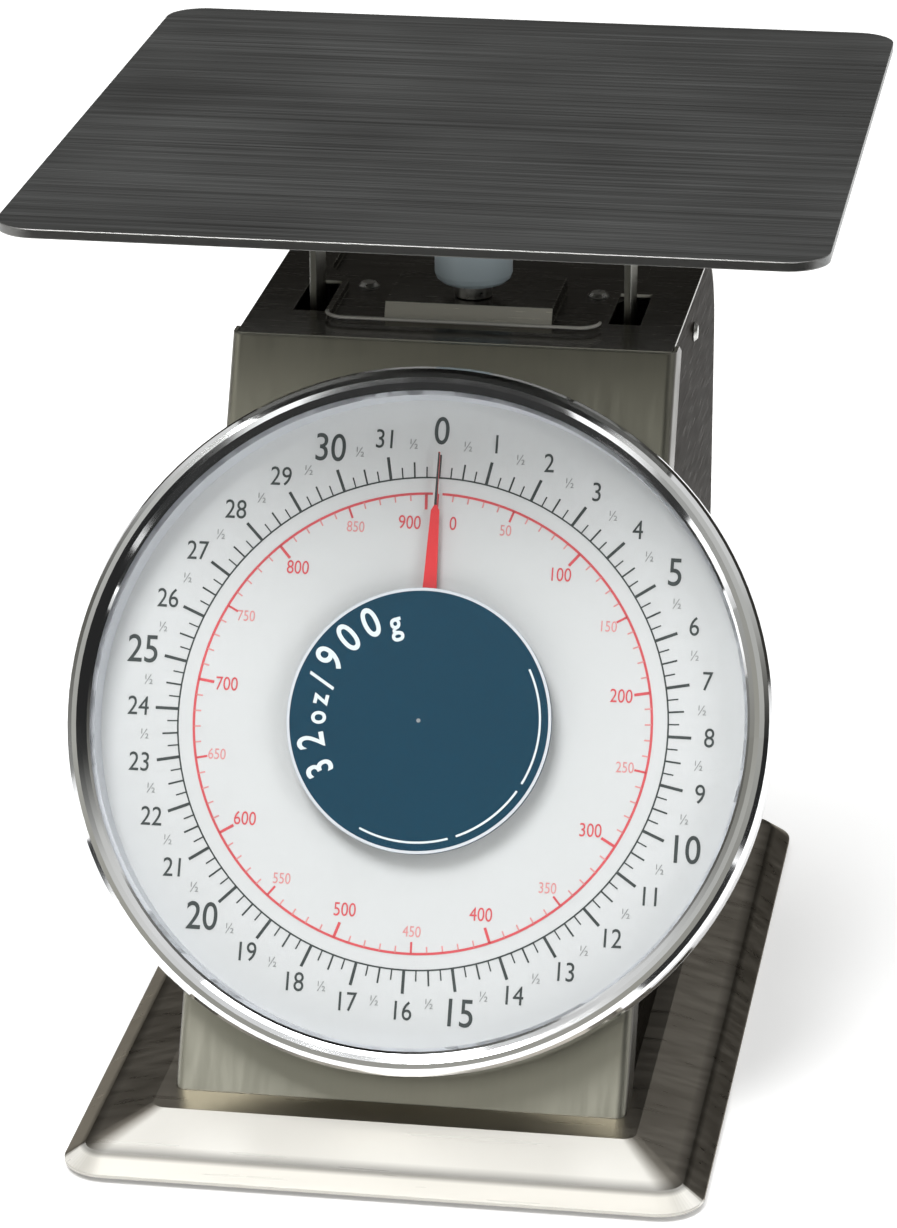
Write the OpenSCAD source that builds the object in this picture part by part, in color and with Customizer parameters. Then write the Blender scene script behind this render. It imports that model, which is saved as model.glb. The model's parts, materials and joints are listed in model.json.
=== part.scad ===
// Dial spring scale: flat load pan above a sloped sheet-metal housing with a round dial.
// Origin: centre of the overall footprint, on the table. The dial faces -Y, tilted up. +Z is up.

/* [Load pan] */
// Pan width across X
pan_w = 230; // [180:1:260]
// Pan depth along Y
pan_d = 253; // [200:1:280]
// Pan sheet thickness
pan_t = 1.2; // [0.8:0.1:2]
// Height of the down-turned pan lip
pan_lip = 2.6; // [1.5:0.1:6]
// Pan corner radius
pan_r = 12; // [4:1:30]
// Height of the pan top above the table
pan_z = 261.7; // [220:0.1:300]
// Pan centre along Y
pan_y = 26.7; // [0:0.1:60]

/* [Base] */
// Base width across X
base_w = 182; // [160:1:200]
// Front edge of the base along Y
base_front = -153.2; // [-160:0.1:-140]
// Rear edge of the base along Y
base_back = 128.6; // [110:0.1:140]
// Height of the slanted rim round the base
rim_h = 5; // [3:0.5:8]
// Width of the slanted rim
rim_w = 6; // [3:0.5:10]
// Width of the flat deck under the housing
deck_w = 139; // [132:1:150]
// Front edge of the flat deck along Y
deck_front = -124.5; // [-135:0.5:-115]
// Base corner radius
base_r = 13; // [9:1:24]
// Height of the feet below the rim
foot_h = 1.5; // [1:0.1:4]
// Foot radius
foot_r = 9; // [5:0.5:14]

/* [Housing] */
// Half width over the side panels
house_hw = 64; // [58:0.5:70]
// Height of the flat housing top
top_z = 206.2; // [190:0.1:220]
// Where the flat top starts to bend down at the back
bend_y = 80.6; // [60:0.1:90]
// Radius of the bend from the top to the back
bend_r = 30; // [10:1:40]
// Sheet thickness of the housing
sheet = 1; // [0.8:0.1:1.6]
// Depth of the side flanges of the front panel
flange_d = 14; // [6:1:24]
// Bend radius of the front panel edges
edge_r = 3; // [1.5:0.5:5]
// Depth of the recess in the housing top
recess_d = 2.4; // [1:0.1:4]
// Height of the raised platform under the knob
boss_h = 4.5; // [2:0.5:8]

/* [Dial] */
// Dial centre along Y
dial_y = -69.4; // [-80:0.1:-60]
// Dial centre height
dial_z = 110.8; // [100:0.1:120]
// Backward tilt of the dial in degrees
tilt = 27.3; // [20:0.1:35]
// Outer radius of the chrome rim
rim_r = 101.7; // [95:0.1:108]
// Outer radius of the dial case
case_r = 100.7; // [94:0.1:107]
// Depth of the dial case behind the dial face
case_back = 8; // [6:0.5:12]
// Radius of the centre disc
disc_r = 38.2; // [30:0.1:45]
// Height of the centre disc above the dial face
disc_h = 5; // [4:0.1:8]
// Pointer length
needle_r = 78; // [60:1:85]

/* [Knob] */
// Knob radius
knob_r = 11.6; // [9:0.1:14]
// Underside height of the knob
knob_z = 213.3; // [211:0.1:216]
// Knob height
knob_h = 18; // [12:0.5:24]
// Position of the posts, knob and spring along Y
axis_y = 30; // [24:0.5:36]

/* [Mechanism] */
// Travel of the pan over the full range
travel = 12.6; // [8:0.1:14]
// Post centre distance from the middle
post_x = 47; // [44:0.5:49]
// Post depth along Y
post_d = 16; // [10:1:20]
// Gear module
gear_m = 0.45; // [0.4:0.05:0.8]
// Pinion teeth
teeth = 10; // [8:1:14]
// Distance between a lever pivot and the post pins
lever_l = 60; // [50:1:70]
// Height of the upper lever pivot
upper_z = 168; // [150:1:175]
// Height of the lower lever pivot
lower_z = 66; // [50:1:80]

/* [Hidden] */
$fn = 64;
big = 128;
base_z = foot_h;
deck_z = 10.5;
base_cy = (base_front + base_back) / 2;
base_d = base_back - base_front;
st = sin(tilt);
ct = cos(tilt);
pitch_r = gear_m * teeth / 2;
back_y = bend_y + bend_r;
gear_s = -31;
pin_v = 42;
pin_y = dial_y + pin_v * st - gear_s * ct;
pin_z = dial_z + pin_v * ct + gear_s * st;
pin_run = (travel / ct) * st;
lever_a = asin(travel / 2 / lever_l);
rear_y = axis_y + lever_l;
frame_x = 53;
frame_top = 196;
screw_x = frame_x + 4;
plate_top = 4.2;
deck_back = back_y + 2;

// Places children in the dial frame: X right, Y up the face, Z out of the face.
module on_dial() {
  translate([0, dial_y, dial_z])
    rotate([90 - tilt, 0, 0])
      children();
}

module disc(r, z0, z1, fn = big) {
  translate([0, 0, z0])
    cylinder(r = r, h = z1 - z0, $fn = fn);
}

module tube(ro, ri, z0, z1, fn = big) {
  difference() {
    disc(ro, z0, z1, fn);
    disc(ri, z0 - 1, z1 + 1, fn);
  }
}

module box(x0, x1, y0, y1, z0, z1) {
  translate([x0, y0, z0])
    cube([x1 - x0, y1 - y0, z1 - z0]);
}

module rod_x(r, x0, x1, y, z, fn = 48) {
  translate([x0, y, z])
    rotate([0, 90, 0])
      cylinder(r = r, h = x1 - x0, $fn = fn);
}

module rounded(w, d, r) {
  difference() {
    square([w, d], center = true);
    for (sx = [-1, 1]) {
      for (sy = [-1, 1]) {
        translate([sx * w / 2, sy * d / 2])
          difference() {
            square(2 * r, center = true);
            translate([-sx * r, -sy * r])
              circle(r = r);
          }
      }
    }
  }
}

module slab(w, d, r, z0, z1) {
  translate([0, 0, z0])
    linear_extrude(z1 - z0)
      rounded(w, d, r);
}

// Side view of the housing, in Y and Z, grown inward by g.
module profile(g = 0) {
  slope = st / ct;
  y_low = dial_y + (case_back + (deck_z - dial_z) * st) / ct + g / ct;
  y_top = dial_y + (case_back + (top_z - dial_z) * st) / ct + g / ct;
  difference() {
    polygon([[y_low, deck_z], [y_top - g * slope, top_z - g], [back_y - g, top_z - g],
             [back_y - g, deck_z]]);
    translate([bend_y, top_z - bend_r])
      difference() {
        square(bend_r + 1);
        circle(r = bend_r - g, $fn = 96);
      }
  }
}

// Extrudes a Y-Z outline between two X positions.
module along_x(x0, x1) {
  translate([x0, 0, 0])
    rotate([90, 0, 90])
      linear_extrude(x1 - x0)
        children();
}

module pan() {
  color("#4a4a4c")
    translate([0, pan_y, 0])
      difference() {
        slab(pan_w, pan_d, pan_r, pan_z - pan_lip, pan_z);
        slab(pan_w - 2 * pan_t, pan_d - 2 * pan_t, pan_r - pan_t, pan_z - pan_lip - 1, pan_z - pan_t);
      }
}

// Weld studs under the pan, each with its nut below the carriage plate.
module pan_studs() {
  color("#8c8c8c")
    for (sx = [-1, 1]) {
      for (sy = [-1, 1]) {
        translate([sx * 40, axis_y + sy * 14, 0])
          union() {
            disc(1.6, pan_z - pan_t - 6.5, pan_z - pan_t, 32);
            translate([0, 0, pan_z - pan_t - 4.4])
              cylinder(r = 3.4, h = 2.4, $fn = 6);
          }
      }
    }
}

module carriage() {
  plate_z = pan_z - pan_t - 2;
  color("#77766c")
    difference() {
      union() {
        for (s = [-1, 1]) {
          box(s * post_x - 1, s * post_x + 1, axis_y - post_d / 2, axis_y + post_d / 2, 52, plate_z + 1);
        }
        box(-54, 54, axis_y - 20, axis_y + 20, plate_z, plate_z + 2);
        box(-post_x, post_x, axis_y - 10, axis_y + 10, 128, 130);
        box(9, 11, pin_y - pin_run - 5, axis_y - 8.5, 128, 140);
        box(-1, 1, axis_y - 3, axis_y + 3, 129, 136.5);
      }
      for (sx = [-1, 1]) {
        for (sy = [-1, 1]) {
          translate([sx * 40, axis_y + sy * 14, plate_z - 1])
            cylinder(r = 1.8, h = 4, $fn = 32);
        }
      }
      box(8, 12, pin_y - pin_run - 1.9, pin_y + 1.9, pin_z - 1.85, pin_z + 1.85);
      rod_x(1.6, -5, 5, axis_y, 133.5, 32);
    }
}

module post_pins() {
  dz = lever_l * sin(lever_a);
  color("#9a9a96")
    for (s = [-1, 1]) {
      for (z = [upper_z + dz, lower_z + dz]) {
        if (s > 0) {
          rod_x(2.5, 40, post_x - 1, axis_y, z);
        }
        else {
          rod_x(2.5, -post_x + 1, -40, axis_y, z);
        }
      }
    }
}

// One lever: two arms on a cross tube, each arm slotted for a post pin.
module lever(z) {
  translate([0, rear_y, z])
    rotate([-lever_a, 0, 0])
      difference() {
        union() {
          rod_x(5, -43.2, 43.2, 0, 0);
          for (s = [-1, 1]) {
            along_x(s * 42.2 - 1, s * 42.2 + 1)
              union() {
                circle(r = 8, $fn = 48);
                translate([-lever_l, -6])
                  square([lever_l, 12]);
                translate([-lever_l, 0])
                  circle(r = 7, $fn = 48);
              }
          }
          box(-42, 42, -31, -29, -5, 5);
        }
        rod_x(3.05, -50, 50, 0, 0);
        for (s = [-1, 1]) {
          box(s * 42.2 - 2, s * 42.2 + 2, -lever_l - 3.6, -lever_l + 3.6, -2.85, 2.85);
        }
      }
}

module upper_lever() {
  color("#8f8f86")
    lever(upper_z);
}

module lower_lever() {
  color("#8f8f86")
    lever(lower_z);
}

module pivot_rods() {
  color("#b4b4ae")
    for (z = [upper_z, lower_z]) {
      rod_x(3, -frame_x - 1, frame_x + 1, rear_y, z);
    }
}

module main_frame() {
  color("#6d6f70")
    difference() {
      union() {
        for (s = [-1, 1]) {
          box(s * frame_x - 1, s * frame_x + 1, rear_y - 12, rear_y + 14, 4.2, frame_top - 10);
          box(s * frame_x - 1, s * frame_x + 1, rear_y - 12, rear_y + 6, frame_top - 11, frame_top);
          box(s * (frame_x + 3) - 4, s * (frame_x + 3) + 4, rear_y - 12, rear_y + 14, 4.2, 6.2);
        }
        box(-frame_x, frame_x, rear_y + 12, rear_y + 14, 4.2, frame_top - 10);
        box(-frame_x, frame_x, rear_y - 12, rear_y + 6, frame_top - 2, frame_top);
        box(-12, 12, axis_y - 14, rear_y, frame_top - 2, frame_top);
      }
      for (s = [-1, 1]) {
        for (y = [rear_y - 6, rear_y + 6]) {
          translate([s * screw_x, y, 0])
            cylinder(r = 1.45, h = 10, $fn = 32);
        }
      }
      for (z = [upper_z, lower_z]) {
        rod_x(3, -60, 60, rear_y, z);
      }
      translate([0, axis_y, frame_top - 6])
        cylinder(r = 2.6, h = 10, $fn = 48);
      for (s = [-1, 1]) {
        box(s * 8 - 1.4, s * 8 + 1.4, axis_y - 3.4, axis_y + 3.4, frame_top - 6, frame_top + 4);
      }
    }
}

module overload_stop() {
  color("#2b2b2b")
    for (s = [-1, 1]) {
      translate([s * post_x, axis_y, 0])
        union() {
          disc(5, 4.2, 52 - travel - 3.3, 32);
          disc(6.5, 52 - travel - 4, 52 - travel - 0.3, 32);
        }
    }
}

// Outline of the base at one height, drawn in by g, as a thin slice for the sloped faces.
module base_slice(g, z) {
  translate([0, base_cy, 0])
    slab(base_w - 2 * g, base_d - 2 * g, base_r - g, z, z + 0.1);
}

module deck_slice(g, z) {
  translate([0, (deck_front + deck_back) / 2, 0])
    slab(deck_w - 2 * g, deck_back - deck_front - 2 * g, 4 - g, z, z + 0.1);
}

// Solid form of the base: upright edge, slanted rim, sloped faces up to the flat deck.
module base_form(g) {
  rim_top = base_z + rim_h;
  union() {
    translate([0, base_cy, 0])
      slab(base_w - 2 * g, base_d - 2 * g, base_r - g, base_z - g, base_z + 0.9);
    hull() {
      base_slice(g, base_z + 0.8);
      base_slice(rim_w + g, rim_top - g);
    }
    hull() {
      base_slice(rim_w + g, rim_top - g);
      deck_slice(g, deck_z - 0.1 - g);
    }
  }
}

module base_skirt() {
  color("#b9b6a8")
    difference() {
      base_form(0);
      base_form(1);
      box(-57, 57, -104, back_y - 6, 5, 20);
    }
}

module bottom_plate() {
  color("#8d8d88")
    difference() {
      translate([0, base_cy, 0])
        slab(base_w - 9.6, base_d - 9.6, base_r - 4.8, 3, plate_top);
      for (sx = [-1, 1]) {
        for (sy = [-1, 1]) {
          translate([sx * 70, base_cy + sy * 120, 0])
            cylinder(r = 2.2, h = 10, $fn = 32);
        }
      }
      for (s = [-1, 1]) {
        for (y = [rear_y - 6, rear_y + 6]) {
          translate([s * screw_x, y, 0])
            cylinder(r = 1.45, h = 10, $fn = 32);
        }
      }
    }
}

module feet() {
  color("#1c1c1c")
    for (sx = [-1, 1]) {
      for (sy = [-1, 1]) {
        translate([sx * 70, base_cy + sy * 120, 0])
          difference() {
            union() {
              cylinder(r1 = foot_r - 1, r2 = foot_r, h = 3, $fn = 48);
              disc(2.1, 2.5, 4.9, 32);
            }
            translate([0, 0, -1])
              cylinder(r = 1.2, h = 7, $fn = 32);
          }
      }
    }
}

module base_screws() {
  color("#8c8c8c")
    for (s = [-1, 1]) {
      for (y = [rear_y - 6, rear_y + 6]) {
        translate([s * screw_x, y, 0])
          union() {
            disc(2.4, 6.2, 8.2, 32);
            disc(1.4, 3.2, 6.4, 32);
          }
      }
    }
}

// Front panel: flat face with bent sides that wrap the side panels.
module front_panel() {
  hw = house_hw + sheet + 0.2;
  v0 = (deck_z - dial_z - case_back * st) / ct + 0.2;
  v1 = (top_z - dial_z - case_back * st) / ct - 0.2;
  color("#8b897a")
    difference() {
      on_dial()
        translate([0, (v0 + v1) / 2, -case_back - flange_d / 2])
          rotate([90, 0, 0])
            linear_extrude(v1 - v0 + 24, center = true)
              difference() {
                bent(hw, flange_d, edge_r);
                translate([0, -sheet])
                  bent(hw - sheet, flange_d, edge_r - sheet);
              }
      box(-80, 80, -200, 100, -40, deck_z + 0.05);
      box(-80, 80, -100, 100, top_z - 0.05, top_z + 60);
      on_dial()
        union() {
          disc(12, -20, 0, 48);
          case_holes(-20, 0);
          standoff_holes(-20, 0);
        }
    }
}

// Outline of a bent channel, open at the back, seen along the panel.
module bent(hw, d, r) {
  union() {
    translate([-hw, -d / 2 - 1])
      square([2 * hw, d + 1 - r]);
    translate([-hw + r, -d / 2 - 1])
      square([2 * (hw - r), d + 1]);
    for (s = [-1, 1]) {
      intersection() {
        translate([s * (hw - r), d / 2 - r])
          circle(r = r, $fn = 48);
        translate([s * hw - (s > 0 ? r : 0), d / 2 - r])
          square([r, r]);
      }
    }
  }
}

module side(x0, x1) {
  difference() {
    along_x(x0, x1)
      profile(sheet + 0.1);
    rod_x(1.6, -80, 80, 49.6, 194, 32);
    on_dial()
      translate([-100, -150, -case_back - edge_r - 0.2])
        cube([200, 300, 40]);
  }
}

module side_left() {
  color("#6f6d62")
    side(-house_hw, -house_hw + sheet);
}

module side_right() {
  color("#6f6d62")
    side(house_hw - sheet, house_hw);
}

module recess(g, z0, z1) {
  translate([0, 0, z0])
    linear_extrude(z1 - z0)
      union() {
        translate([0, 25])
          rounded(81 - 2 * g, 44 - 2 * g, 6 - g);
        polygon([[-40.5 + g, 30], [40.5 - g, 30], [40.5 - g, 47], [48 - g, 60],
                 [48 - g, 120], [-48 + g, 120], [-48 + g, 60], [-40.5 + g, 47]]);
      }
}

// Wrap-over cover: flat top with a recess and a raised platform, bent down into the back wall.
module top_cover() {
  z_floor = top_z - recess_d;
  z_plat = z_floor + boss_h;
  color("#4d4c46")
    difference() {
      union() {
        difference() {
          along_x(-house_hw, house_hw)
            profile(0);
          along_x(-house_hw - 1, house_hw + 1)
            profile(sheet);
          along_x(-80, 80)
            front_cut();
          recess(0, z_floor, top_z + 5);
        }
        intersection() {
          recess(-sheet, z_floor - sheet, z_floor);
          along_x(-house_hw + 1, house_hw - 1)
            profile(0);
        }
        difference() {
          recess(-sheet, z_floor - sheet, top_z - 0.5);
          recess(0, z_floor - 5, top_z + 5);
          box(-60, 60, bend_y + 4, 200, 150, 250);
        }
        platform_boss(0, z_floor - 0.5, z_plat);
      }
      platform_boss(-sheet, z_floor - sheet - 1, z_plat - sheet);
      for (s = [-1, 1]) {
        box(s * post_x - 4.7, s * post_x + 4.7, axis_y - 15.5, axis_y + 15.5, top_z - 6, top_z + 2);
      }
      translate([0, axis_y, z_floor - 5])
        cylinder(r = 4, h = 20, $fn = 48);
      for (s = [-1, 1]) {
        translate([s * 35, 50, z_floor - 5])
          cylinder(r = 1.7, h = 10, $fn = 32);
      }
    }
}

module platform_boss(g, z0, z1) {
  h = z1 - z0;
  translate([0, 0, z0])
    along_x(-25 - g, 25 + g)
      polygon([[18 - g, 0], [18 - g + h * 0.5, h], [52 + g, h], [56 + g, 0]]);
}

// Region in front of and behind the sloped face, taken away from the wrap-over cover.
module front_cut() {
  y_low = dial_y + (case_back + (deck_z - dial_z) * st) / ct;
  y_top = dial_y + (case_back + (top_z - dial_z) * st) / ct;
  polygon([[y_low - 40, deck_z - 5], [y_top - 40, top_z + 5], [y_top + 3, top_z + 5], [y_top + 1.4, top_z - 1.2],
           [y_low + 60, deck_z - 5]]);
}

module cover_rivets() {
  z = top_z - recess_d;
  color("#8c8c8c")
    for (s = [-1, 1]) {
      translate([s * 35, 50, 0])
        union() {
          disc(1.6, z - 4, z + 0.5, 32);
          translate([0, 0, z])
            cylinder(r1 = 3.4, r2 = 2.2, h = 1.2, $fn = 32);
        }
    }
}

module side_rivets() {
  color("#8c8c8c")
    for (s = [-1, 1]) {
      translate([s * house_hw, 49.6, 194])
        rotate([0, s * 90, 0])
          union() {
            translate([0, 0, 0.05])
              cylinder(r1 = 3, r2 = 2, h = 1.1, $fn = 32);
            translate([0, 0, -4])
              cylinder(r = 1.5, h = 4.5, $fn = 32);
          }
    }
}

module dial_case() {
  color("#9a9a98")
    on_dial()
      difference() {
        union() {
          tube(case_r, case_r - 1, -case_back, 9);
          disc(case_r - 0.5, -case_back, -case_back + 1);
          tube(case_r - 0.5, 92, -2.2, -1);
        }
        disc(6, -20, 5, 48);
        case_holes(-20, 10);
      }
}

// Four screw holes that fasten the dial case to the front panel, in the dial frame.
module case_holes(z0, z1) {
  for (a = [45:90:315]) {
    rotate([0, 0, a])
      translate([52, 0, z0])
        cylinder(r = 1.8, h = z1 - z0, $fn = 32);
  }
}

// Four holes in the front panel for the threaded ends of the standoffs, in the dial frame.
module standoff_holes(z0, z1) {
  for (sx = [-1, 1]) {
    for (sy = [-1, 1]) {
      translate([sx * 26, 8 + sy * 32, z0])
        cylinder(r = 1.5, h = z1 - z0, $fn = 32);
    }
  }
}

module case_screws() {
  color("#8c8c8c")
    on_dial()
      for (a = [45:90:315]) {
        rotate([0, 0, a])
          translate([52, 0, 0])
            union() {
              disc(3.2, -case_back + 1, -case_back + 3, 32);
              disc(1.7, -case_back - 4, -case_back + 2, 32);
            }
      }
}

module dial_plate() {
  color("#f2f3f2")
    on_dial()
      tube(97.5, 4.5, -1, 0);
}

module spacer_ring() {
  color("#e6e8ea")
    on_dial()
      difference() {
        disc(97.5, 0, 9.8);
        translate([0, 0, -1])
          cylinder(r = 93.4, h = 12, $fn = big);
      }
}

module lens() {
  color([0.85, 0.92, 0.95, 0.3])
    on_dial()
      disc(98.6, 9.8, 11.6);
}

module bezel() {
  color("#d9dadb")
    on_dial()
      rotate_extrude($fn = big)
        polygon([[case_r + 0.05, 2], [rim_r - 0.2, 1.6], [rim_r, 3], [rim_r, 9.5], [rim_r - 0.3, 11.2],
                 [rim_r - 1.1, 12.7], [rim_r - 2.4, 13.6], [rim_r - 3.8, 13.8], [rim_r - 5.2, 13.2],
                 [rim_r - 6.6, 12.3], [94.4, 11.7], [94.4, 11.62], [case_r - 2.05, 11.62],
                 [case_r - 1.2, 9.1], [case_r + 0.05, 9.1]]);
}

module arbor() {
  color("#c2b280")
    on_dial()
      union() {
        disc(1, -41, 4.6, 32);
        disc(2.6, -41, -38.2, 32);
        disc(2.2, disc_h - 0.9, disc_h - 0.01, 32);
      }
}

module centre_disc() {
  color("#1f4a63")
    on_dial()
      union() {
        disc(disc_r, disc_h, disc_h + 1.3);
        tube(3.4, 2.3, disc_h - 0.9, disc_h + 0.1, 32);
        tube(disc_r - 0.4, disc_r - 1.4, disc_h - 0.6, disc_h + 0.1);
      }
}

module movement_plate() {
  color("#b08d4a")
    on_dial()
      difference() {
        translate([-32, -31, -38.2])
          cube([64, 75, 2]);
        translate([6.5, 21, -45])
          cube([7, 40, 20]);
        disc(1.0, -60, 0, 32);
        standoff_holes(-60, 0);
      }
}

module standoffs() {
  color("#c2a35a")
    on_dial()
      for (sx = [-1, 1]) {
        for (sy = [-1, 1]) {
          translate([sx * 26, 8 + sy * 32, 0])
            union() {
              disc(3, -36.2, -case_back - sheet, 6);
              disc(1.4, -case_back - sheet - 0.5, -case_back, 32);
              disc(1.4, -40.4, -36, 32);
              translate([0, 0, -40.4])
                cylinder(r = 2.8, h = 2.2, $fn = 6);
            }
        }
      }
}

module rack_guide() {
  color("#c2a35a")
    on_dial()
      difference() {
        translate([1.6, 9, -36.2])
          cube([11, 7, 8.6]);
        translate([2.25, 0, gear_s - 2.35])
          cube([5.1, 40, 4.7]);
        translate([0, 8, gear_s - 2.35])
          cube([4, 10, 4.7]);
      }
}

// Straight-sided gear tooth outline for a pinion of n teeth.
module gear(n, m) {
  rp = n * m / 2;
  ro = rp + 0.95 * m;
  rr = rp - 1.25 * m;
  union() {
    circle(r = rr + 0.05, $fn = 48);
    for (i = [0:n - 1]) {
      rotate(i * 360 / n + 180 / n)
        polygon([[rr - 0.3, -0.52 * m], [rp, -0.42 * m], [ro, -0.2 * m], [ro, 0.2 * m], [rp, 0.42 * m],
                 [rr - 0.3, 0.52 * m]]);
    }
  }
}

module pinion() {
  color("#c9a94f")
    on_dial()
      difference() {
        union() {
          translate([0, 0, gear_s - 2.6])
            linear_extrude(5.2)
              gear(teeth, gear_m);
          tube(2.6, 1.05, gear_s + 2.4, 2.2, 48);
          tube(4, 1.05, gear_s + 3.1, gear_s + 4.1, 48);
        }
        disc(1.05, -60, 20, 48);
      }
}

module pointer() {
  color("#c8202a")
    on_dial()
      difference() {
        union() {
          disc(9, 2.2, 3.2, 64);
          translate([0, 0, 2.2])
            linear_extrude(1)
              polygon([[-6, -24], [-2.7, 0], [-2.0, disc_r], [-1.2, 61], [-0.4, 62.5], [-0.22, needle_r],
                       [0.22, needle_r], [0.4, 62.5], [1.2, 61], [2.0, disc_r], [2.7, 0], [6, -24]]);
        }
        disc(1.05, -5, 20, 48);
      }
}

module rack() {
  p = PI * gear_m;
  n = 14;
  color("#c9a94f")
    on_dial()
      union() {
        translate([0, 0, gear_s - 2])
          linear_extrude(4)
            union() {
              translate([pitch_r + 1.2 * gear_m, -6])
                square([3.9, pin_v + 10]);
              for (i = [-2:n - 3]) {
                translate([pitch_r, i * p])
                  polygon([[1.3 * gear_m, -0.62 * gear_m], [0, -0.42 * gear_m], [-0.9 * gear_m, -0.2 * gear_m],
                           [-0.9 * gear_m, 0.2 * gear_m], [0, 0.42 * gear_m], [1.3 * gear_m, 0.62 * gear_m]]);
              }
            }
        translate([pitch_r + 1, pin_v, gear_s])
          rotate([0, 90, 0])
            cylinder(r = 1.5, h = 10.5, $fn = 32);
      }
}

module spring_hanger() {
  color("#9a9a96")
    translate([0, axis_y, 0])
      difference() {
        union() {
          box(-9, 9, -3, 3, 186, 190);
          for (s = [-1, 1]) {
            box(s * 8 - 1, s * 8 + 1, -3, 3, 186, 199);
          }
          box(-1, 1, -3, 3, 178, 186.5);
        }
        disc(2.05, 180, 200, 48);
        rod_x(1.6, -5, 5, 0, 181, 32);
      }
}

module zero_stud() {
  color("#b4b4ae")
    translate([0, axis_y, 0])
      union() {
        disc(2, 187, knob_z + 8, 48);
        disc(5.5, top_z - recess_d + boss_h + 0.3, knob_z, 48);
      }
}

module zero_knob() {
  color("#8aa0ab")
    translate([0, axis_y, 0])
      difference() {
        union() {
          translate([0, 0, knob_z])
            cylinder(r1 = knob_r - 1.9, r2 = knob_r - 0.6, h = 1.1, $fn = 96);
          translate([0, 0, knob_z + 1.1])
            cylinder(r1 = knob_r - 0.6, r2 = knob_r, h = 1.6, $fn = 96);
          disc(knob_r, knob_z + 2.7, knob_z + knob_h - 1.2, 96);
          translate([0, 0, knob_z + knob_h - 1.2])
            cylinder(r1 = knob_r, r2 = knob_r - 1.2, h = 1.2, $fn = 96);
        }
        disc(2, knob_z - 5, knob_z + 8, 48);
        disc(knob_r - 3.6, knob_z + knob_h - 0.8, knob_z + knob_h + 2, 96);
      }
}

module main_spring() {
  color("#a8a8a4")
    translate([0, axis_y, 0])
      union() {
        for (i = [0:12]) {
          translate([0, 0, 142 + i * 2.5])
            rotate_extrude($fn = 48)
              translate([7, 0])
                circle(r = 0.8, $fn = 24);
        }
        translate([7, 0, 142])
          cylinder(r = 0.6, h = 30, $fn = 24);
        for (z = [137.5, 177]) {
          translate([0, 0, z])
            rotate([90, 0, 0])
              rotate_extrude($fn = 48)
                translate([4, 0])
                  circle(r = 0.8, $fn = 24);
        }
        for (z = [141.7, 172.6]) {
          translate([-7, 0, z])
            rotate([0, 90, 0])
              cylinder(r = 0.7, h = 14, $fn = 24);
        }
      }
}

pan();
carriage();
post_pins();
pan_studs();
base_skirt();
bottom_plate();
feet();
base_screws();
front_panel();
side_left();
side_right();
top_cover();
cover_rivets();
side_rivets();
dial_case();
dial_plate();
spacer_ring();
lens();
bezel();
case_screws();
arbor();
centre_disc();
movement_plate();
standoffs();
pinion();
pointer();
rack();
rack_guide();
main_frame();
pivot_rods();
upper_lever();
lower_lever();
overload_stop();
zero_knob();
zero_stud();
spring_hanger();
main_spring();
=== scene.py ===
import json
import math

import bpy
from mathutils import Matrix, Vector


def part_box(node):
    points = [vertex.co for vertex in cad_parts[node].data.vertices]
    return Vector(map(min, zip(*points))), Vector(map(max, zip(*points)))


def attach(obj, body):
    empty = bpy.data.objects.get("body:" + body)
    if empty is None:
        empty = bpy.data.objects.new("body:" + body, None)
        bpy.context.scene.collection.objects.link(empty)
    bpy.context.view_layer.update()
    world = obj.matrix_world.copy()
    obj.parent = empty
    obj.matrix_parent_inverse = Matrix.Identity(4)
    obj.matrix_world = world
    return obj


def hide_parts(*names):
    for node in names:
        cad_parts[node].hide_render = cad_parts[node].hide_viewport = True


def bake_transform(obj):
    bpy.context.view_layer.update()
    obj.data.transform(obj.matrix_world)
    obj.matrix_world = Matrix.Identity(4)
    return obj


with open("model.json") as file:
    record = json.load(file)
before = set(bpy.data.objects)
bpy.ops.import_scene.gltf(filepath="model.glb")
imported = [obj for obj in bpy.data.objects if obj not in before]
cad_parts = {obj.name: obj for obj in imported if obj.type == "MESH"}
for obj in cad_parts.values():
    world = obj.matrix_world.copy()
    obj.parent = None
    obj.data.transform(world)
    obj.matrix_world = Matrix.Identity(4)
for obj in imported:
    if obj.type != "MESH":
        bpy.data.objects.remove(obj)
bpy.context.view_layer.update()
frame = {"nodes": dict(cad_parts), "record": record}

nodes = frame["nodes"]
joints = {j["name"]: j for j in frame["record"]["behaviour"]["joints"]}

# ---------------------------------------------------------------- frame of the dial
dial = Vector(joints["needle_turn"]["pos_m"])
nrm = Vector(joints["needle_turn"]["axis"]).normalized()
right = Vector((1, 0, 0))
up = nrm.cross(right).normalized()
DIAL = Matrix((
    (right.x, up.x, nrm.x, dial.x),
    (right.y, up.y, nrm.y, dial.y),
    (right.z, up.z, nrm.z, dial.z),
    (0, 0, 0, 1)))
MM = 0.001

FRONT, DOWN, LEFT, RIGHT = (0, -1, 0), (0, 0, -1), (-1, 0, 0), (1, 0, 0)


def height(node):
    """Lowest and highest point of a CAD node along the dial's outward axis, and its largest radius."""
    lo, hi, r = 1e9, -1e9, 0.0
    inv = DIAL.inverted()
    for v in nodes[node].data.vertices:
        p = inv @ v.co
        lo, hi, r = min(lo, p.z), max(hi, p.z), max(r, math.hypot(p.x, p.y))
    return lo, hi, r


# ---------------------------------------------------------------- materials
def material(name):
    m = bpy.data.materials.new(name)
    m.use_nodes = True
    t = m.node_tree
    b = t.nodes["Principled BSDF"]
    return m, t, b


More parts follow.
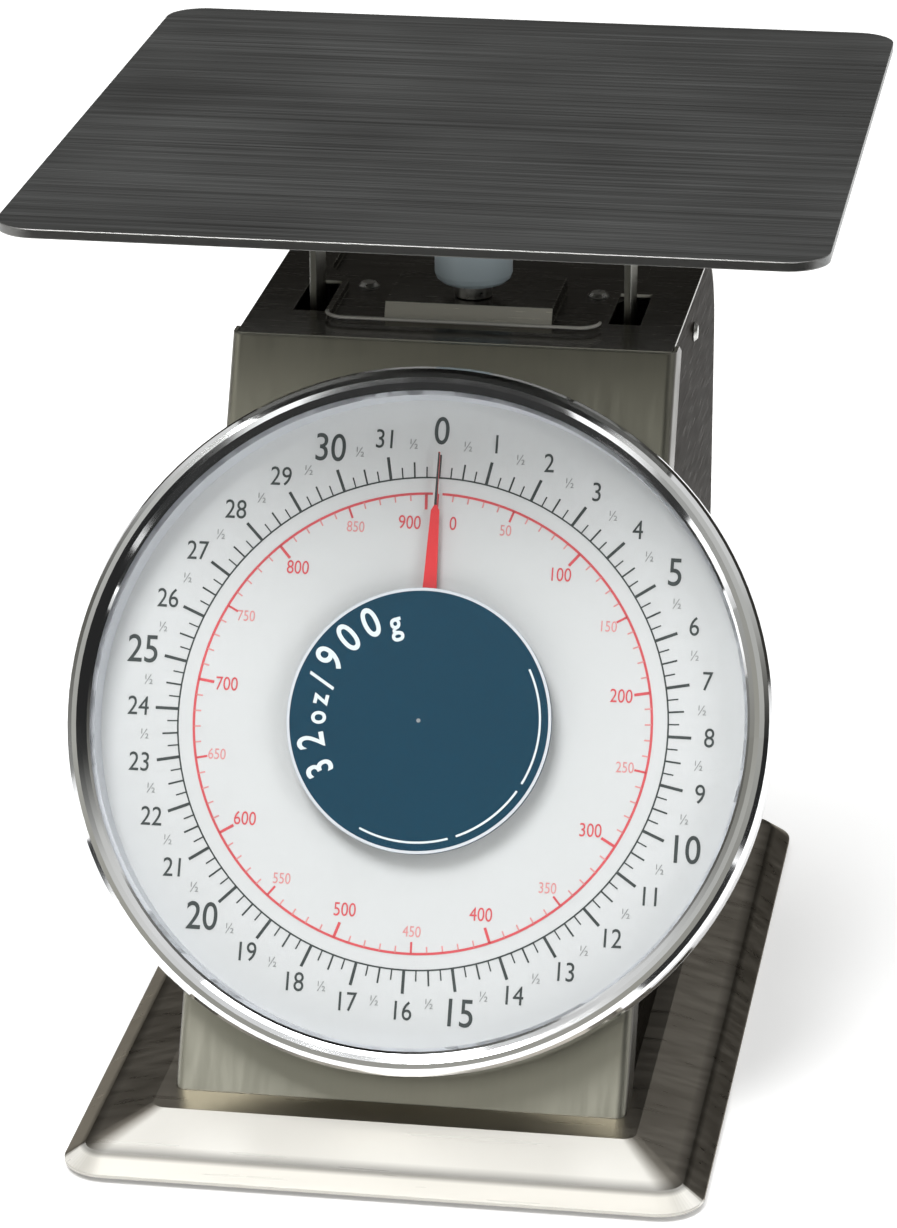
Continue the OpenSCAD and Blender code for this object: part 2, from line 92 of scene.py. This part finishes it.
def ramp(t, stops, source):
    r = t.nodes.new("ShaderNodeValToRGB")
    e = r.color_ramp.elements
    while len(e) < len(stops):
        e.new(0.5)
    for i, (p, c) in enumerate(stops):
        e[i].position = p
        e[i].color = (c[0], c[1], c[2], 1) if hasattr(c, "__len__") else (c, c, c, 1)
    t.links.new(source, r.inputs["Fac"])
    return r.outputs["Color"]


def stretched(t, scale, across, detail=3.0, rotation=(0, 0, 0)):
    """Noise in object space, drawn out along the axis where across is small."""
    co = t.nodes.new("ShaderNodeTexCoord")
    mp = t.nodes.new("ShaderNodeMapping")
    mp.inputs["Scale"].default_value = across
    mp.inputs["Rotation"].default_value = rotation
    t.links.new(co.outputs["Object"], mp.inputs["Vector"])
    n = t.nodes.new("ShaderNodeTexNoise")
    n.inputs["Scale"].default_value = scale
    n.inputs["Detail"].default_value = detail
    t.links.new(mp.outputs["Vector"], n.inputs["Vector"])
    return n.outputs["Fac"]


def edge_wear(t, radius, amount, base_out, light=(0.8, 0.8, 0.78)):
    """Mixes a lighter tone in where the bevelled normal leaves the true one: rubbed edges and a painted
    highlight along them.
    """
    bev = t.nodes.new("ShaderNodeBevel")
    bev.samples = 4
    bev.inputs["Radius"].default_value = radius
    geo = t.nodes.new("ShaderNodeNewGeometry")
    dot = t.nodes.new("ShaderNodeVectorMath")
    dot.operation = "DOT_PRODUCT"
    t.links.new(bev.outputs["Normal"], dot.inputs[0])
    t.links.new(geo.outputs["Normal"], dot.inputs[1])
    fac = ramp(t, [(0.90, amount), (0.995, 0.0)], dot.outputs["Value"])
    mix = t.nodes.new("ShaderNodeMix")
    mix.data_type = "RGBA"
    t.links.new(fac, mix.inputs["Factor"])
    t.links.new(base_out, mix.inputs["A"])
    mix.inputs["B"].default_value = (light[0], light[1], light[2], 1)
    return mix.outputs["Result"]


def grey(t, level):
    """A constant that a later node mixes with another."""
    c = t.nodes.new("ShaderNodeRGB")
    c.outputs[0].default_value = (level, level, level, 1)
    return c.outputs[0]


def facing(t, base_out, way, colour, start=0.45, end=0.75):
    """Paints another tone on the faces that look along way, mixed in from cosine start to cosine end: light
    or shade painted by the way a face looks.
    """
    geo = t.nodes.new("ShaderNodeNewGeometry")
    dot = t.nodes.new("ShaderNodeVectorMath")
    dot.operation = "DOT_PRODUCT"
    dot.inputs[1].default_value = way
    t.links.new(geo.outputs["Normal"], dot.inputs[0])
    mix = t.nodes.new("ShaderNodeMix")
    mix.data_type = "RGBA"
    t.links.new(ramp(t, [(start, 0.0), (end, 1.0)], dot.outputs["Value"]), mix.inputs["Factor"])
    t.links.new(base_out, mix.inputs["A"])
    mix.inputs["B"].default_value = (colour[0], colour[1], colour[2], 1)
    return mix.outputs["Result"]


def creased(t, base_out, low, high, shade):
    """Darkens a narrow band of heights, where two folds meet: painted shade along the fold."""
    co = t.nodes.new("ShaderNodeTexCoord")
    sep = t.nodes.new("ShaderNodeSeparateXYZ")
    t.links.new(co.outputs["Object"], sep.inputs["Vector"])
    mr = t.nodes.new("ShaderNodeMapRange")
    mr.inputs["From Min"].default_value = low
    mr.inputs["From Max"].default_value = high
    t.links.new(sep.outputs["Z"], mr.inputs["Value"])
    mul = t.nodes.new("ShaderNodeMix")
    mul.data_type = "RGBA"
    mul.blend_type = "MULTIPLY"
    mul.inputs["Factor"].default_value = 1.0
    t.links.new(base_out, mul.inputs["A"])
    band = ramp(t, [(0.0, 1.0), (0.4, shade), (0.6, shade), (1.0, 1.0)], mr.outputs["Result"])
    t.links.new(band, mul.inputs["B"])
    return mul.outputs["Result"]


# cosines between which a face starts to count as the gentle slope of the base
SLOPE = (0.09, 0.17)


def brushed(name, dark, light, rough, grain, fine, bump, cloud, metallic=1.0, wear_and_highlight=0.5,
            edge=(0.75, 0.75, 0.73), streak=0.0, soft=0.0005, tint=None, painted_tones=(), painted_crease_band=None, satin=None):
    """Brushed sheet metal, from dark to light.

    grain is the stretch of the noise per axis, small along the grain, and fine is its scale. streak adds
    broader lines along it, and cloud adds slow patches. wear lightens edges to the colour edge, as rubbed
    metal and as a painted highlight, and soft rounds them. tint is the colour at grazing angles. turned lists
    the faces that get a tone of their own by the way they look: painted light and shade. crease is a painted
    shade band between two heights, and faces that look along satin are less metallic.
    """
    m, t, b = material(name)
    n1 = stretched(t, fine, grain, 4.0)
    n2 = stretched(t, 16.0, (1, 1, 1), 2.0)
    if streak:
        n3 = stretched(t, fine * 0.3, grain, 2.0)
        both = t.nodes.new("ShaderNodeMix")
        both.data_type = "FLOAT"
        both.inputs["Factor"].default_value = streak
        t.links.new(n1, both.inputs["A"])
        t.links.new(n3, both.inputs["B"])
        n1 = both.outputs["Result"]
    mixn = t.nodes.new("ShaderNodeMix")
    mixn.data_type = "FLOAT"
    mixn.inputs["Factor"].default_value = cloud
    t.links.new(n1, mixn.inputs["A"])
    t.links.new(n2, mixn.inputs["B"])
    col = ramp(t, [(0.34, dark), (0.66, light)], mixn.outputs["Result"])
    # painted light and shade by the way faces look, a painted shade band at a fold, and edges lightened for
    # rubbing and a painted highlight
    for one in painted_tones:
        col = facing(t, col, *one)
    if painted_crease_band:
        col = creased(t, col, *painted_crease_band)
    if wear_and_highlight:
        col = edge_wear(t, 0.0006, wear_and_highlight, col, edge)
    t.links.new(col, b.inputs["Base Color"])
    if tint:
        b.inputs["Specular Tint"].default_value = (tint[0], tint[1], tint[2], 1)
    if satin:
        dull = facing(t, grey(t, metallic), satin, (0.25, 0.25, 0.25), *SLOPE)
        t.links.new(dull, b.inputs["Metallic"])
    else:
        b.inputs["Metallic"].default_value = metallic
    rr = ramp(t, [(0.25, rough - 0.06), (0.75, rough + 0.08)], n1)
    t.links.new(rr, b.inputs["Roughness"])
    bp = t.nodes.new("ShaderNodeBump")
    bp.inputs["Strength"].default_value = bump
    bp.inputs["Distance"].default_value = 0.0002
    t.links.new(n1, bp.inputs["Height"])
    if soft:
        bev = t.nodes.new("ShaderNodeBevel")
        bev.samples = 4
        bev.inputs["Radius"].default_value = soft
        t.links.new(bev.outputs["Normal"], bp.inputs["Normal"])
    t.links.new(bp.outputs["Normal"], b.inputs["Normal"])
    return m


def plastic(name, colour, rough, speck=0.08, bump=0.05, scale=700.0, gloss=0.5):
    m, t, b = material(name)
    n = stretched(t, scale, (1, 1, 1), 3.0)
    n2 = stretched(t, 30.0, (1, 1, 1), 2.0)
    lo = [c * (1 - speck) for c in colour]
    hi = [min(1, c * (1 + speck)) for c in colour]
    t.links.new(ramp(t, [(0.3, lo), (0.7, hi)], n2), b.inputs["Base Color"])
    t.links.new(ramp(t, [(0.3, rough - 0.05), (0.7, rough + 0.06)], n), b.inputs["Roughness"])
    b.inputs["Specular IOR Level"].default_value = gloss
    bp = t.nodes.new("ShaderNodeBump")
    bp.inputs["Strength"].default_value = bump
    bp.inputs["Distance"].default_value = 0.0001
    t.links.new(n, bp.inputs["Height"])
    t.links.new(bp.outputs["Normal"], b.inputs["Normal"])
    return m


def dress(obj, mat):
    """Gives a piece one material in every slot."""
    if not obj.material_slots:
        obj.data.materials.append(mat)
    for s in obj.material_slots:
        s.material = mat


# dark olive painted on the front panel's side flanges: painted shade, to match the dark sides
OLIVE_SHADE = (0.085, 0.080, 0.068)

MAT = {
    # pan: painted shade on the underside and a painted reflection tone on the front lip
    "pan": brushed(
        "pan_brushed", dark=(0.12, 0.122, 0.122), light=(0.27, 0.278, 0.278), rough=0.34,
        grain=(2.4, 300, 300), fine=4.0, bump=0.10, cloud=0.35, wear_and_highlight=0.4, streak=0.34,
        painted_tones=((DOWN, (0.10, 0.10, 0.095)), (FRONT, (0.16, 0.16, 0.155)))),
    # front panel: its side flanges get the painted shade OLIVE_SHADE
    "front": brushed(
        "front_brushed", dark=(0.43, 0.425, 0.36), light=(0.51, 0.50, 0.425), rough=0.36, grain=(60, 8, 8),
        fine=6.0, bump=0.02, cloud=0.7, wear_and_highlight=0.4,
        painted_tones=((RIGHT, OLIVE_SHADE, 0.6, 0.9), (LEFT, OLIVE_SHADE, 0.6, 0.9))),
    # sides: the housing's steel darkened all over, a painted shade
    "side": brushed(
        "side_brushed_painted_shade", dark=(0.050, 0.046, 0.040), light=(0.085, 0.080, 0.070), rough=0.30,
        grain=(10, 10, 200), fine=6.0, bump=0.02, cloud=0.6, tint=(0.09, 0.08, 0.07)),
    # top: the housing's steel darkened all over as painted shade, a painted highlight on the faces that look
    # forward and a little up (the platform's front), and lightened edges that are partly a painted highlight
    "top": brushed(
        "top_brushed_painted_shade_and_highlight", dark=(0.085, 0.080, 0.070), light=(0.13, 0.125, 0.11), rough=0.22,
        grain=(10, 200, 200), fine=6.0, bump=0.02, cloud=0.6, wear_and_highlight=0.8, edge=(0.6, 0.6, 0.52),
        painted_tones=(((0, -1, 0.1), (0.82, 0.80, 0.70), 0.5, 0.75),), satin=FRONT),
    # base: painted light on the front slope and rim by the way they look, and a painted shade band at the
    # fold between them
    "base": brushed(
        "base_brushed", dark=(0.37, 0.34, 0.295), light=(0.43, 0.40, 0.35), rough=0.30, grain=(6, 90, 90),
        fine=3.0, bump=0.0004, cloud=0.5, wear_and_highlight=0.2, streak=0.15, tint=(0.45, 0.43, 0.39),
        painted_tones=((FRONT, (0.76, 0.745, 0.70), *SLOPE), (FRONT, (0.50, 0.485, 0.445), 0.3, 0.5)),
        painted_crease_band=(0.0054, 0.0074, 0.42), satin=FRONT),
    "post": brushed(
        "post_brushed", dark=(0.22, 0.215, 0.185), light=(0.30, 0.295, 0.255), rough=0.32,
        grain=(200, 200, 10), fine=6.0, bump=0.05, cloud=0.4),
    # light tone for the bead along the recess's front edge: a painted highlight
    "painted_highlight": brushed(
        "edge_painted_highlight", dark=(0.55, 0.54, 0.50), light=(0.70, 0.69, 0.64), rough=0.35, grain=(40, 40, 40),
        fine=5.0, bump=0.01, cloud=0.5, metallic=0.3),
    "zinc": brushed(
        "zinc_sheet", dark=(0.45, 0.45, 0.44), light=(0.60, 0.60, 0.58), rough=0.40, grain=(30, 30, 30),
        fine=6.0, bump=0.08, cloud=0.7),
    "case": brushed(
        "case_satin", dark=(0.30, 0.30, 0.29), light=(0.42, 0.42, 0.41), rough=0.36, grain=(60, 60, 60),
        fine=5.0, bump=0.05, cloud=0.6),
    "screw": brushed(
        "screw_steel", dark=(0.40, 0.40, 0.39), light=(0.58, 0.58, 0.56), rough=0.30, grain=(90, 90, 90),
        fine=8.0, bump=0.05, cloud=0.4),
    "brass": brushed(
        "brass_sheet", dark=(0.62, 0.44, 0.17), light=(0.78, 0.58, 0.26), rough=0.28, grain=(120, 120, 20),
        fine=6.0, bump=0.06, cloud=0.4, edge=(0.9, 0.75, 0.4)),
    "chrome": brushed(
        "chrome_rim", dark=(0.80, 0.81, 0.82), light=(0.88, 0.89, 0.90), rough=0.07, grain=(8, 8, 8),
        fine=4.0, bump=0.004, cloud=0.5, wear_and_highlight=0, soft=0),
    "white": plastic("dial_enamel", (0.615, 0.622, 0.628), 0.42, speck=0.012, bump=0.02, scale=500.0),
    "ring": plastic("ring_white", (0.60, 0.62, 0.66), 0.45, speck=0.03),
    "blue": plastic("disc_teal", (0.001, 0.040, 0.075), 0.5, speck=0.02, bump=0.001, scale=900.0, gloss=0.15),
    "knob": plastic("knob_plastic", (0.36, 0.43, 0.46), 0.42, speck=0.05, bump=0.06, scale=500.0),
    "rubber": plastic("foot_rubber", (0.018, 0.018, 0.018), 0.75, speck=0.2, bump=0.3, scale=600.0),
    "red": plastic("needle_red", (0.70, 0.022, 0.030), 0.35, speck=0.05, bump=0.03),
    "ink": plastic("ink_black", (0.055, 0.065, 0.065), 0.5, speck=0.1, bump=0.02, gloss=0.2),
    "redink": plastic("ink_red", (0.64, 0.075, 0.09), 0.5, speck=0.06, bump=0.02),
    "pinkink": plastic("ink_pink", (0.70, 0.28, 0.28), 0.5, speck=0.06, bump=0.02),
    "greyink": plastic("ink_grey", (0.30, 0.31, 0.31), 0.5, speck=0.06, bump=0.02),
    "paleink": plastic("ink_pale", (0.72, 0.78, 0.80), 0.5, speck=0.04, bump=0.02),
}

# clear lens: mostly see-through, with a gloss that grows as the surface turns away
gm, gt, gb = material("lens_glass")
gt.nodes.remove(gb)
trans = gt.nodes.new("ShaderNodeBsdfTransparent")
trans.inputs["Color"].default_value = (0.985, 0.99, 0.99, 1)
gloss = gt.nodes.new("ShaderNodeBsdfGlossy")
gloss.inputs["Roughness"].default_value = 0.03
slant = gt.nodes.new("ShaderNodeLayerWeight")
slant.inputs["Blend"].default_value = 0.5
mixs = gt.nodes.new("ShaderNodeMixShader")
SHINE = [(0.0, 0.016), (0.4, 0.022), (0.65, 0.07), (0.85, 0.22), (1.0, 0.75)]
shine = ramp(gt, SHINE, slant.outputs["Facing"])
gt.links.new(shine, mixs.inputs["Fac"])
gt.links.new(trans.outputs["BSDF"], mixs.inputs[1])
gt.links.new(gloss.outputs["BSDF"], mixs.inputs[2])
gt.links.new(mixs.outputs["Shader"], gt.nodes["Material Output"].inputs["Surface"])
MAT["glass"] = gm

FINISH = {
    "pan": ["pan"],
    "front": ["front_panel"],
    "side": ["side_left", "side_right"],
    "top": ["top_cover"],
    "base": ["base_skirt"],
    "post": ["carriage"],
    "zinc": ["bottom_plate", "main_frame", "upper_lever", "lower_lever"],
    "case": ["dial_case"],
    "screw": ["post_pins", "pan_studs", "base_screws", "cover_rivets", "side_rivets", "case_screws",
              "pivot_rods", "zero_stud", "spring_hanger", "main_spring"],
    "brass": ["arbor", "movement_plate", "standoffs", "pinion", "rack", "rack_guide"],
    "chrome": ["bezel"],
    "glass": ["lens"],
    "white": ["dial_plate"],
    "ring": ["spacer_ring"],
    "blue": ["centre_disc"],
    "knob": ["zero_knob"],
    "rubber": ["feet", "overload_stop"],
    "red": ["pointer"],
}
for finish, names in FINISH.items():
    for name in names:
        dress(nodes[name], MAT[finish])


# ---------------------------------------------------------------- printed dial
def flat_mesh(name, polys, z, mat, body, thick=0.00012):
    """Thin raised print: polygons in dial millimetres (X right, Y up), at height z in metres."""
    verts, faces = [], []
    for poly in polys:
        k = len(verts)
        m = len(poly)
        for zz in (z, z + thick):
            for x, y in poly:
                verts.append(DIAL @ Vector((x * MM, y * MM, zz)))
        faces.append([k + i for i in reversed(range(m))])
        faces.append([k + m + i for i in range(m)])
        for i in range(m):
            j = (i + 1) % m
            faces.append([k + i, k + j, k + m + j, k + m + i])
    me = bpy.data.meshes.new(name)
    me.from_pydata(verts, [], faces)
    me.update()
    o = bpy.data.objects.new(name, me)
    bpy.context.scene.collection.objects.link(o)
    dress(o, mat)
    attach(o, body)
    return o


def polar(r, deg):
    a = math.radians(deg)
    return r * math.sin(a), r * math.cos(a)


def arc(r0, r1, a0, a1, step=2.0):
    """Segments of a ring between two radii and two clockwise angles."""
    n = max(1, int(round((a1 - a0) / step)))
    out = []
    for i in range(n):
        a, b = a0 + (a1 - a0) * i / n, a0 + (a1 - a0) * (i + 1) / n
        out.append([polar(r0, a), polar(r1, a), polar(r1, b), polar(r0, b)][::-1])
    return out


def tick(r0, r1, deg, w0, w1=None):
    w1 = w0 if w1 is None else w1
    a = math.radians(deg)
    d, s = Vector((math.sin(a), math.cos(a))), Vector((math.cos(a), -math.sin(a)))
    p = [d * r0 - s * w0 / 2, d * r0 + s * w0 / 2, d * r1 + s * w1 / 2, d * r1 - s * w1 / 2]
    return [(q.x, q.y) for q in p]


# share of the font's size that its capitals and figures take
CAP = 0.72
# lifts a flat print clear of what it lies on
LIFT = 0.00007


def word(name, text, size, x, y, z, mat, turn=0.0, squeeze=1.0, weight=0.0):
    """Printed figures on the housing: size and place in dial millimetres, turn clockwise in degrees."""
    c = bpy.data.curves.new(name, "FONT")
    c.body = text
    c.size = size * MM / CAP
    c.align_x = "CENTER"
    c.align_y = "CENTER"
    c.extrude = 0.00006
    c.offset = weight * MM
    c.resolution_u = 6
    c.materials.append(mat)
    o = bpy.data.objects.new(name, c)
    bpy.context.scene.collection.objects.link(o)
    place = Matrix.Translation((x * MM, y * MM, z))
    spin = Matrix.Rotation(-math.radians(turn), 4, "Z")
    o.matrix_world = DIAL @ place @ spin @ Matrix.Diagonal((squeeze, 1, 1, 1))
    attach(o, "housing")


# ounces: radius of the ring, marks of a quarter ounce, and how long and wide the marks are
R = 71.0
OUNCES = 32
MARKS = OUNCES * 4
face = height("dial_plate")[1]
black = arc(R - 0.35, R + 0.1, 0, 360)
for i in range(MARKS):
    a = i * 360 / MARKS
    if i % 4 == 0:
        black.append(tick(R, R + 6.6, a, 0.85))
    elif i % 2 == 0:
        black.append(tick(R, R + 4.4, a, 0.5))
    else:
        black.append(tick(R, R + 3.0, a, 0.38))
flat_mesh("dial_ticks_black", black, face, MAT["ink"], "housing")
# grams: radius of the ring, which stops short of the zero on both sides, and grams in a full turn
RED = 66.2
GAP = 1.2
grams = 907.185
red = arc(RED - 0.35, RED + 0.35, GAP, 360 - GAP)
pink = []
for g in range(0, 910, 10):
    a = g / grams * 360
    if a > 360 - GAP:
        continue
    if g % 100 == 0:
        red.append(tick(RED - 4.6, RED, a, 0.8))
    elif g % 50 == 0:
        red.append(tick(RED - 3.4, RED, a, 0.6))
    else:
        pink.append(tick(RED - 2.0, RED, a, 0.42))
flat_mesh("dial_ticks_red", red, face, MAT["redink"], "housing")
flat_mesh("dial_ticks_pink", pink, face, MAT["pinkink"], "housing")

zt = face + LIFT
for k in range(OUNCES):
    a = k * 360 / OUNCES
    big_one = k % 5 == 0
    x, y = polar(R * (1.185 if big_one else 1.165), a)
    word(f"oz_{k}", str(k), 8.2 if big_one else 5.6, x, y, zt, MAT["ink"], squeeze=0.84,
         weight=0.04 if big_one else 0.0)
    x, y = polar(R * 1.135, a + 180 / OUNCES)
    word(f"half_{k}", "½", 2.9, x, y, zt, MAT["greyink"], squeeze=0.9)
for g in range(0, 901, 50):
    a = g / grams * 360
    # the first and last figures stand aside for the needle
    if g == 0:
        a = 5.0
    if g == 900:
        a = 352.5
    large = g % 100 == 0
    x, y = polar(R * (0.815 if large else 0.845), a)
    ink = MAT["redink"] if large else MAT["pinkink"]
    word(f"gram_{g}", str(g), 4.0 if large else 3.2, x, y, zt, ink, squeeze=0.8)

# ---------------------------------------------------------------- centre disc print
dtop, dr = height("centre_disc")[1:]
# each figure, its clockwise angle, its distance from the centre as a share of R, and its size
CAPACITY = (
    ("3", -119, 0.438, 8.0), ("2", -104, 0.438, 8.0), ("o", -91.5, 0.415, 6.2), ("z", -81, 0.415, 6.2),
    ("/", -71, 0.42, 8.0), ("9", -58.5, 0.437, 8.8), ("0", -44, 0.437, 8.8), ("0", -30, 0.437, 8.8),
    ("g", -17.5, 0.405, 7.0))
for i, (ch, deg, share, size) in enumerate(CAPACITY):
    x, y = polar(R * share, deg)
    word(f"capacity_{i}", ch, size, x, y, dtop + LIFT, MAT["paleink"], turn=deg, squeeze=0.82,
         weight=0.16)
# plain arcs where small print would be
arcs = arc(34.6, 35.2, 62, 118) + arc(34.6, 35.2, 122, 158) + arc(34.6, 35.2, 162, 205)
flat_mesh("disc_arc", arcs, dtop, MAT["paleink"], "housing")
flat_mesh("disc_edge", arc(37.3, dr / MM - 0.05, 0, 360), dtop, MAT["ring"], "housing", 0.00005)
flat_mesh("disc_dot", arc(0.05, 0.6, 0, 360, 30), dtop, MAT["greyink"], "housing")

# needle tip, dark paint over the red
ptop, pr = height("pointer")[1:]
tip = [[(-0.36, 62.6), (0.36, 62.6), (0.2, pr / MM - 0.2), (-0.2, pr / MM - 0.2)]]
flat_mesh("needle_tip", tip, ptop, MAT["ink"], "needle")


# ---------------------------------------------------------------- wound spring
def tube_along(name, path, radius, sides, mat):
    """A round wire swept along a path of points, with closed ends."""
    pts = [Vector(p) for p in path]
    verts, faces = [], []
    side = Vector((0, 1, 0))
    for i, p in enumerate(pts):
        t = (pts[min(i + 1, len(pts) - 1)] - pts[max(i - 1, 0)]).normalized()
        side = (side - t * side.dot(t)).normalized()
        other = t.cross(side)
        for k in range(sides):
            a = 2 * math.pi * k / sides
            verts.append(p + (side * math.cos(a) + other * math.sin(a)) * radius)
    for i in range(len(pts) - 1):
        for k in range(sides):
            j = (k + 1) % sides
            faces.append([i * sides + k, i * sides + j, (i + 1) * sides + j, (i + 1) * sides + k])
    faces.append(list(reversed(range(sides))))
    faces.append([(len(pts) - 1) * sides + k for k in range(sides)])
    me = bpy.data.meshes.new(name)
    me.from_pydata(verts, [], faces)
    for f in me.polygons:
        f.use_smooth = len(f.vertices) == 4
    me.update()
    o = bpy.data.objects.new(name, me)
    bpy.context.scene.collection.objects.link(o)
    dress(o, mat)
    return o


sp_lo, sp_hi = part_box("main_spring")
sx, sy = (sp_lo.x + sp_hi.x) / 2, (sp_lo.y + sp_hi.y) / 2
# radii of the coil, of its end loops and of the wire, which leaves the hanger room to move in the upper loop
coil, loop, wire, turns = 0.007, 0.004, 0.0006, 12
z_low, z_high = sp_lo.z + 0.0008 + loop, sp_hi.z - 0.00074 - loop
z_a, z_b = z_low + loop + 0.0008, z_high - loop - 0.0008
path = []
for i in range(28):
    a = math.radians(-190 + 280 * i / 28)
    path.append((sx + loop * math.cos(a), sy, z_low + loop * math.sin(a)))
steps = 30 * turns
for i in range(steps + 1):
    f = i / steps
    grow = min(1.0, f * turns / 0.5, (1 - f) * turns / 0.5)
    a = 2 * math.pi * turns * f
    path.append((sx + coil * grow * math.cos(a), sy + coil * grow * math.sin(a), z_a + (z_b - z_a) * f))
for i in range(1, 29):
    a = math.radians(-90 - 280 * i / 28)
    path.append((sx + loop * math.cos(a), sy, z_high + loop * math.sin(a)))
spring = tube_along("spring_coil", path, wire, 10, MAT["screw"])
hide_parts("main_spring")
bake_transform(spring)


# ---------------------------------------------------------------- rounded front edge of the recess in the top
# half its width, the recess's front edge along Y, the radius of its corners and that of the bead
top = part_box("top_cover")[1].z
edge_x, edge_y, edge_r, bead_r = 0.0405, 0.003, 0.006, 0.00055


def corner(x, start):
    """A quarter circle of the bead's path, from the angle start on."""
    pts = []
    for i in range(9):
        a = math.radians(start + 90 * i / 8)
        pts.append((x + edge_r * math.cos(a), edge_y + edge_r + edge_r * math.sin(a), top - 0.0001))
    return pts


# the bead's light tone stands in for light caught along the recess's front edge: a painted highlight
bead = corner(edge_r - edge_x, 180) + corner(edge_x - edge_r, 270)
recess_edge = tube_along("recess_edge", bead, bead_r, 10, MAT["painted_highlight"])
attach(recess_edge, "housing")


# ---------------------------------------------------------------- camera
dist, az, el = 1.473, math.radians(8.8), math.radians(20.6)
cr = Vector((math.cos(az), math.sin(az), 0))
cd = Vector((-math.sin(az) * math.cos(el), math.cos(az) * math.cos(el), -math.sin(el)))
cu = cr.cross(cd)
place = dial + cr * 0.00773 + cu * 0.0311 - cd * dist
cam_data = bpy.data.cameras.new("camera")
cam_data.lens = 150.9
cam_data.sensor_width = 36
cam = bpy.data.objects.new("camera", cam_data)
bpy.context.scene.collection.objects.link(cam)
cam.matrix_world = Matrix((
    (cr.x, cu.x, -cd.x, place.x),
    (cr.y, cu.y, -cd.y, place.y),
    (cr.z, cu.z, -cd.z, place.z),
    (0, 0, 0, 1)))
cam_data.clip_start = 0.01
cam_data.clip_end = 50
bpy.context.scene.camera = cam


# ---------------------------------------------------------------- studio
def plate(name, centre, size, colour, glow=0.0):
    """A level plate of the studio, which isn't part of the object."""
    me = bpy.data.meshes.new(name)
    w, d = size[0] / 2, size[1] / 2
    me.from_pydata([(-w, -d, 0), (w, -d, 0), (w, d, 0), (-w, d, 0)], [], [(0, 1, 2, 3)])
    o = bpy.data.objects.new(name, me)
    bpy.context.scene.collection.objects.link(o)
    o.location = centre
    m, t, b = material(name)
    b.inputs["Base Color"].default_value = (*colour, 1)
    b.inputs["Roughness"].default_value = 0.8
    b.inputs["Specular IOR Level"].default_value = 0.1
    b.inputs["Emission Color"].default_value = (*colour, 1)
    b.inputs["Emission Strength"].default_value = glow
    me.materials.append(m)
    return o


# the floor lies just under the feet, so that they don't share a plane
plate("floor", (0, 3.0, -0.0003), (14, 14), (0.94, 0.94, 0.94), glow=0.22)

# a dark studio flag on the floor in front, which only reflections see
flag = plate("flag", (0.4, -0.9, 0.004), (2.0, 1.4), (0.015, 0.015, 0.015))
flag.visible_camera = False
flag.visible_diffuse = False
flag.visible_shadow = False
flag.visible_transmission = False


def softbox(name, place, size, power):
    """A soft light that looks at the middle of the object."""
    l = bpy.data.lights.new(name, "AREA")
    l.shape = "RECTANGLE"
    l.size, l.size_y = size
    l.energy = power
    o = bpy.data.objects.new(name, l)
    bpy.context.scene.collection.objects.link(o)
    o.location = place
    o.rotation_euler = (Vector((0, 0, 0.1)) - Vector(place)).to_track_quat("-Z", "Y").to_euler()
    return o


softbox("key", (-0.55, -1.25, 2.3), (1.2, 1.0), 50)
softbox("fill", (1.5, -1.3, 0.8), (0.9, 1.2), 12).visible_glossy = False
softbox("overhead", (0.1, 0.35, 2.4), (1.8, 1.2), 26)

# surroundings: dark low behind the object, pale above, a warm grey in front, a dark wall to the front right
world = bpy.data.worlds.new("studio")
world.use_nodes = True
bpy.context.scene.world = world
wt = world.node_tree
bg = wt.nodes["Background"]
co = wt.nodes.new("ShaderNodeTexCoord")
sep = wt.nodes.new("ShaderNodeSeparateXYZ")
wt.links.new(co.outputs["Generated"], sep.inputs["Vector"])
BACK = [(0.0, (0.05, 0.047, 0.042)), (0.36, (0.04, 0.037, 0.032)), (0.50, (0.25, 0.245, 0.235)),
        (0.66, (0.95, 0.95, 0.94)), (1.0, (1.05, 1.05, 1.05))]
AHEAD = [(0.0, (0.52, 0.52, 0.50)), (0.30, (0.44, 0.43, 0.38)), (0.62, (0.62, 0.62, 0.59)),
         (1.0, (1.0, 1.0, 1.0))]
back = ramp(wt, BACK, sep.outputs["Z"])
front = ramp(wt, AHEAD, sep.outputs["Z"])
depth = wt.nodes.new("ShaderNodeMapRange")
depth.inputs["From Min"].default_value = -0.45
depth.inputs["From Max"].default_value = 0.25
wt.links.new(sep.outputs["Y"], depth.inputs["Value"])
round_mix = wt.nodes.new("ShaderNodeMix")
round_mix.data_type = "RGBA"
wt.links.new(depth.outputs["Result"], round_mix.inputs["Factor"])
wt.links.new(front, round_mix.inputs["A"])
wt.links.new(back, round_mix.inputs["B"])
aside = wt.nodes.new("ShaderNodeVectorMath")
aside.operation = "DOT_PRODUCT"
wt.links.new(co.outputs["Generated"], aside.inputs[0])
aside.inputs[1].default_value = Vector((0.70, -0.70, 0.14)).normalized()
wall = wt.nodes.new("ShaderNodeMix")
wall.data_type = "RGBA"
wt.links.new(ramp(wt, [(0.78, 0.0), (0.90, 1.0)], aside.outputs["Value"]), wall.inputs["Factor"])
wt.links.new(round_mix.outputs["Result"], wall.inputs["A"])
wall.inputs["B"].default_value = (0.03, 0.03, 0.03, 1)
wt.links.new(wall.outputs["Result"], bg.inputs["Color"])
bg.inputs["Strength"].default_value = 0.8

bpy.context.scene.view_settings.view_transform = "Standard"
